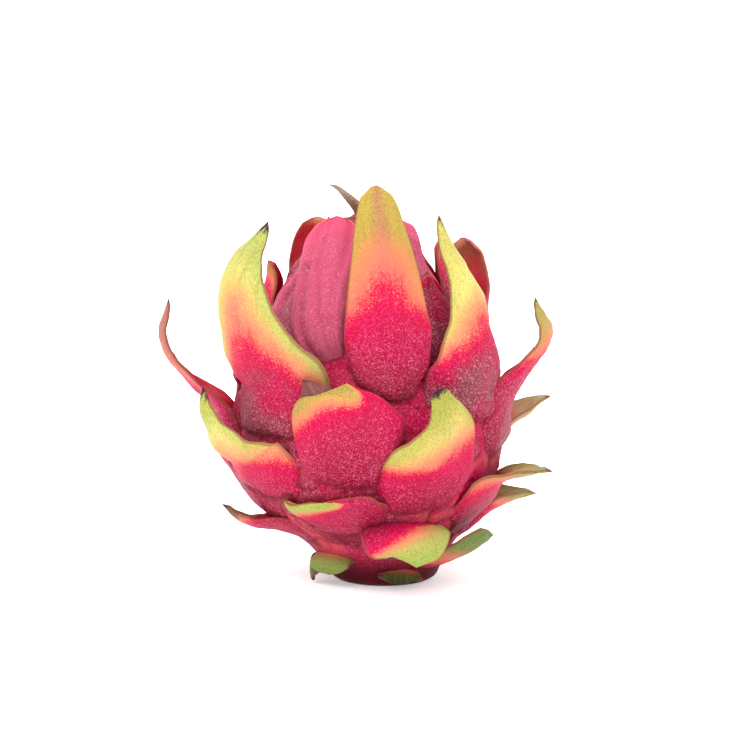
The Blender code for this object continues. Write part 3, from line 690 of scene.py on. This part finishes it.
def new_material(name):
    """Empty material with its tree, its shader and the Object coordinates."""
    made = bpy.data.materials.new(name)
    made.use_nodes = True
    tree = made.node_tree
    shader = tree.nodes["Principled BSDF"]
    where = tree.nodes.new("ShaderNodeTexCoord").outputs["Object"]
    return made, tree, shader, where


def frosted_veins(tree, where):
    """Fine winding lines like frost: near 1 where a noise passes its middle value."""
    lumps = noise(tree, where, VEIN_SCALE, 0.0, 0.5, 0.5)
    off = math_node(tree, "ABSOLUTE", math_node(tree, "SUBTRACT", lumps, 0.5))
    return span(tree, off, 0.01, 0.075, 1.0, 0.0)


def crimson_skin(tree, where, spot, dusk, veins, cloud):
    """Crimson with frosty veins, deep low on the pad, clear towards the blade, smoky in patches.

    The spot is 0 at the foot, 0.5 where the crimson ends and 1 at the tip. Base and frost each
    have a run of colours along it, and the veins mix the two.
    """
    colour = ramp(tree, spot, [
        (0.00, (0.16, 0.000, 0.014)), (0.20, (0.21, 0.000, 0.020)), (0.34, (0.27, 0.000, 0.027)),
        (0.44, (0.35, 0.000, 0.033)), (0.50, (0.42, 0.002, 0.036)), (0.58, (0.50, 0.08, 0.050))])
    smoke = times(tree, span(tree, cloud, 0.36, 0.60), dusk,
                  span(tree, spot, 0.36, 0.47, 1.0, 0.0))
    colour = blend(tree, smoke, colour, (0.12, 0.020, 0.032))
    frost = ramp(tree, spot, [(0.20, (0.58, 0.10, 0.19)), (0.36, (0.63, 0.06, 0.17)),
                              (0.45, (0.64, 0.02, 0.12)), (0.52, (0.72, 0.20, 0.13))])
    frost = blend(tree, smoke, frost, (0.66, 0.34, 0.36))
    strength = times(tree, veins, span(tree, cloud, 0.35, 0.65, 0.75, 0.45))
    return blend(tree, strength, colour, frost)


def finish_skin(tree, shader, colour, relief, roughness):
    """Link colour and relief to the shader, and set the waxy gloss and softness of the skin."""
    tree.links.new(colour, shader.inputs["Base Color"])
    bump = add(tree, "ShaderNodeBump", Strength=0.5, Distance=RELIEF_HEIGHT, Height=relief)
    tree.links.new(bump.outputs[0], shader.inputs["Normal"])
    shader.inputs["Roughness"].default_value = roughness
    shader.inputs["Specular IOR Level"].default_value = SKIN_GLOSS
    shader.inputs["Subsurface Weight"].default_value = SKIN_SOFTNESS
    shader.inputs["Subsurface Radius"].default_value = SOFT_SKIN_RADIUS
    shader.inputs["Subsurface Scale"].default_value = SOFT_SKIN_SCALE


bract_finish, tree, shader, where = new_material("pitaya_bract")
tone = mark_of(tree, "tone")
across = math_node(tree, "ABSOLUTE", mark_of(tree, "across"))
face = mark_of(tree, "face")
free = mark_of(tree, "free")
crease = mark_of(tree, "crease")
flow = mark_of(tree, "flow", True)
dusk, dark, pale = add(tree, "ShaderNodeSeparateXYZ", i0=mark_of(tree, "kind", True)).outputs
veins = frosted_veins(tree, where)
cloud = noise(tree, where, 60.0, 3.0)
grain = span(tree, noise(tree, where, 1800.0, 1.0), 0.42, 0.70)
streak = noise(tree, add(tree, "ShaderNodeMapping", i0=flow,
                         i3=(900.0, 45.0, 1.0)).outputs[0], 1.0, 3.0)

# Place along the bract, made uneven by cloud, streak and grain
wander = nudge(tree, tone, cloud, 0.30)
wander = nudge(tree, wander, streak, 0.14)
wander = nudge(tree, wander, grain, 0.05)
spot = math_node(tree, "MULTIPLY_ADD", wander, 0.5, 0.5)

# Crimson of the pad
crimson = crimson_skin(tree, where, spot, dusk, veins, cloud)
crimson = blend(tree, times(tree, mark_of(tree, "veil"), 0.32), crimson, (0.64, 0.15, 0.25))

# Colour of the blade: its middle colour turns to the end colour towards the tip and the sides,
# or along the middle line on a ridged bract, with grain and brownish streaks over it
middle = mark_of(tree, "middle", True)
end = mark_of(tree, "end", True)
ridge = mark_of(tree, "ridge")
flanks = math_node(tree, "SUBTRACT", 1.0, ridge)
to_side = math_node(tree, "ADD", times(tree, span(tree, across, 0.35, 0.95), 0.7, flanks),
                    times(tree, span(tree, across, 0.0, 0.5, 1.0, 0.0), 0.8, ridge))
to_tip = math_node(tree, "ADD", times(tree, span(tree, spot, 0.60, 0.86), flanks),
                   times(tree, span(tree, spot, 0.78, 0.97), ridge))
to_end = math_node(tree, "MAXIMUM", to_tip, to_side)
leaf = blend(tree, to_end, middle, end)
leaf = blend(tree, 1.0, leaf, (0.66, 0.66, 0.66), "MULTIPLY")
grainy = blend(tree, 1.0, leaf, (0.80, 0.68, 0.52), "MULTIPLY")
leaf = blend(tree, times(tree, grain, 0.9), leaf, grainy)
leaf = blend(tree, times(tree, span(tree, streak, 0.52, 0.70), 0.30), leaf, (0.22, 0.15, 0.04))

# Outer face: crimson passes into the blade's colour through a warm blush
passage = nudge(tree, spot, veins, 0.05)
outer = blend(tree, span(tree, passage, 0.445, 0.68), crimson, leaf)
blush = times(tree, span(tree, passage, 0.46, 0.53), span(tree, passage, 0.54, 0.64, 1.0, 0.0),
              0.38)
outer = blend(tree, blush, outer, (0.56, 0.14, 0.11))

# Inner face: smooth crimson that fades to the blade's colour, more so on the pale ones
fade = math_node(tree, "MAXIMUM", span(tree, spot, 0.55, 0.95, 0.10, 0.55),
                 times(tree, span(tree, spot, 0.40, 0.62), pale))
inside = blend(tree, fade, (0.46, 0.004, 0.026), leaf)
inside = blend(tree, times(tree, span(tree, streak, 0.45, 0.7), 0.3), inside, (0.24, 0.02, 0.02))

# Dried point, dark free rim and painted shade in the valleys
colour = blend(tree, face, outer, inside)
tipward = nudge(tree, spot, streak, 0.12)
point = times(tree, span(tree, tipward, 0.91, 0.985), dark)
colour = blend(tree, point, colour, (0.026, 0.008, 0.020))
rim = times(tree, span(tree, across, 0.93, 0.99), free)
colour = blend(tree, times(tree, rim, 0.7), colour, (0.16, 0.04, 0.03))
colour = blend(tree, times(tree, crease, 0.8), colour, VALLEY_SHADE)
relief = math_node(tree, "MULTIPLY_ADD", veins, 0.7, times(tree, grain, 0.4))
relief = math_node(tree, "MULTIPLY_ADD", streak, 0.6, relief)
finish_skin(tree, shader, colour, relief, 0.50)

# Body skin
# The piece that shows in the valleys, round the foot and in the navel. It is the same crimson
# skin, rather duller, with painted shade in the valleys and folds and where the foot meets the
# floor, brown in the navel.
BODY_DUSK = 0.5
# Heights in metres over which painted shade darkens the body towards the floor
FLOOR_SHADE_FROM = 0.004
FLOOR_SHADE_TO = 0.016


def build_piece(name, points, quads, fans, marks, finish):
    """Mesh object in metres from millimetre points, with per-point marks for its finish."""
    mesh = bpy.data.meshes.new(name)
    mesh.from_pydata((points * MM).tolist(), [], quads.tolist() + fans.tolist())
    for mark, values in marks.items():
        kind = "FLOAT" if values.ndim == 1 else "FLOAT_VECTOR"
        field = mesh.attributes.new(mark, kind, "POINT")
        field.data.foreach_set("value" if values.ndim == 1 else "vector",
                               values.astype(np.float32).ravel())
    mesh.shade_smooth()
    mesh.materials.append(finish)
    piece = bpy.data.objects.new(name, mesh)
    bpy.context.scene.collection.objects.link(piece)
    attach(piece, "root")
    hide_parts("dragon_fruit")
    return piece


# Painted shade on the body: near the skins of neighbouring pads and along its folds
body_valley_shade = np.maximum(crease_shade_mask(body_points, BARE_BODY),
                         np.append(0.8 * fold.ravel(), [0, 0]))
body_finish, tree, shader, where = new_material("pitaya_body")
veins = frosted_veins(tree, where)
cloud = noise(tree, where, 70.0, 3.0)
grain = noise(tree, where, 1900.0, 2.0)
spot = math_node(tree, "MULTIPLY_ADD", cloud, 0.36, 0.20)
colour = crimson_skin(tree, where, spot, BODY_DUSK, veins, noise(tree, where, 45.0, 2.0))
colour = blend(tree, times(tree, span(tree, cloud, 0.50, 0.68), 0.30), colour, (0.44, 0.13, 0.11))
# Painted shade in the valleys and folds
colour = blend(tree, times(tree, mark_of(tree, "crease"), 0.8), colour, VALLEY_SHADE)
colour = blend(tree, mark_of(tree, "navel"), colour, (0.07, 0.03, 0.02))
up = add(tree, "ShaderNodeSeparateXYZ", i0=where).outputs[2]
# Painted shade: the body darkens towards the floor, where the fruit's underside is in shade
floor_shade = span(tree, up, FLOOR_SHADE_FROM, FLOOR_SHADE_TO, 1.0, 0.0)
colour = blend(tree, floor_shade, colour, (0.06, 0.001, 0.006))
relief = math_node(tree, "MULTIPLY_ADD", veins, 0.7, times(tree, grain, 0.4))
finish_skin(tree, shader, colour, relief, 0.55)
build_piece("body_skin", body_points, body_quads, body_fans,
            {"navel": navel, "crease": body_valley_shade}, body_finish)

# Crown bracts
# The upright bracts that close over the top of the fruit, rosy and folded, with the dried scrap
# of the flower between them. They are grown in one with the body, here joined from their grids.


def build_bracts(piece_name, names):
    """One piece from several bracts: their grids stacked one after another."""
    all_points, all_quads, all_fans, all_marks = [], [], [], {}
    start = 0
    for name in names:
        points, marks = skins[name]
        quads, fans = tube_faces(ALONG, AROUND, start)
        start += len(points)
        all_points.append(points)
        all_quads.append(quads)
        all_fans.append(fans)
        # Painted shade where a neighbour's skin comes level, only where the bract lies on the body
        marks["crease"] = crease_shade_mask(points, order.index(name)) * (1 - marks["free"])
        for mark, values in marks.items():
            all_marks.setdefault(mark, []).append(values)
    joined = {mark: np.concatenate(values) for mark, values in all_marks.items()}
    return build_piece(piece_name, np.vstack(all_points), np.vstack(all_quads),
                       np.vstack(all_fans), joined, bract_finish)


build_bracts("crown_bracts", crown_names)

# Claw bracts
# The tall bracts round the shoulder of the fruit, with curled claws that run to yellow and green.
# They grow out of the body on broad pads and stand free of it above.
build_bracts("claw_bracts", claw_names)

# Side bracts
# The bracts round the middle, among them the folded front one and the long thin spurs at both
# sides. Their pads cover most of the body, from which they grow.
build_bracts("side_bracts", side_names)

# Low bracts
# The short bracts round the foot, some standing out as spurs and some drooping as green lobes.
# They grow from the narrow end of the body, just above the flat spot.
build_bracts("low_bracts", low_names)

# Floor
# A plain white light table, softly lit from below and wide enough to run out of every view.
FLOOR_HALF = 6
FLOOR_GLOW = 0.32
floor_mesh = bpy.data.meshes.new("floor")
floor_corners = [(-FLOOR_HALF, -FLOOR_HALF, 0), (FLOOR_HALF, -FLOOR_HALF, 0),
                 (FLOOR_HALF, FLOOR_HALF, 0), (-FLOOR_HALF, FLOOR_HALF, 0)]
floor_mesh.from_pydata(floor_corners, [], [(0, 1, 2, 3)])
floor = bpy.data.objects.new("floor", floor_mesh)
bpy.context.scene.collection.objects.link(floor)
floor_finish, tree, shader, where = new_material("light_table")
sheet = ramp(tree, noise(tree, where, 400.0, 3.0), [(0.3, (0.93, 0.925, 0.93)),
                                                    (0.7, (0.95, 0.95, 0.955))])
tree.links.new(sheet, shader.inputs["Base Color"])
shader.inputs["Roughness"].default_value = 0.8
shader.inputs["Emission Color"].default_value = (1.0, 0.99, 0.99, 1.0)
shader.inputs["Emission Strength"].default_value = FLOOR_GLOW
floor_mesh.materials.append(floor_finish)

# Light
# A white room with broad soft light from above, the front and a little from the left.
ROOM_BRIGHTNESS = 1.9
WINDOW_BRIGHTNESS = 2.0
WINDOW_SPREAD = math.radians(40.0)
WINDOW_AIM = Vector((0.25, 0.55, -0.85))
room = bpy.data.worlds.new("white_room")
bpy.context.scene.world = room
room.use_nodes = True
room_light = room.node_tree.nodes["Background"]
room_light.inputs["Color"].default_value = (1.0, 1.0, 1.0, 1.0)
room_light.inputs["Strength"].default_value = ROOM_BRIGHTNESS
window_lamp = bpy.data.lights.new("broad_window", "SUN")
window_lamp.angle = WINDOW_SPREAD
window_lamp.energy = WINDOW_BRIGHTNESS
window = bpy.data.objects.new("broad_window", window_lamp)
window.rotation_euler = WINDOW_AIM.to_track_quat("-Z", "Y").to_euler()
bpy.context.scene.collection.objects.link(window)

# Camera
# Aimed at the fruit's middle from 7 degrees above it. The distance is a guess, as the photograph
# doesn't give it, and the lens is set so that the fruit fills the frame as it does there.
LENS = 124.7
SENSOR_WIDTH = 36.0
CAMERA_DISTANCE = 0.9
CAMERA_TILT = math.radians(7.0)
LOOK_AT = Vector((-0.00528, 0.0, 0.0744))
camera_data = bpy.data.cameras.new("camera")
camera = bpy.data.objects.new("camera", camera_data)
bpy.context.scene.collection.objects.link(camera)
bpy.context.scene.camera = camera
camera_data.lens = LENS
camera_data.sensor_width = SENSOR_WIDTH
away = Vector((0.0, -math.cos(CAMERA_TILT), math.sin(CAMERA_TILT)))
camera.location = LOOK_AT + away * CAMERA_DISTANCE
camera.rotation_euler = (-away).to_track_quat("-Z", "Y").to_euler()
bpy.context.scene.view_settings.view_transform = "Standard"
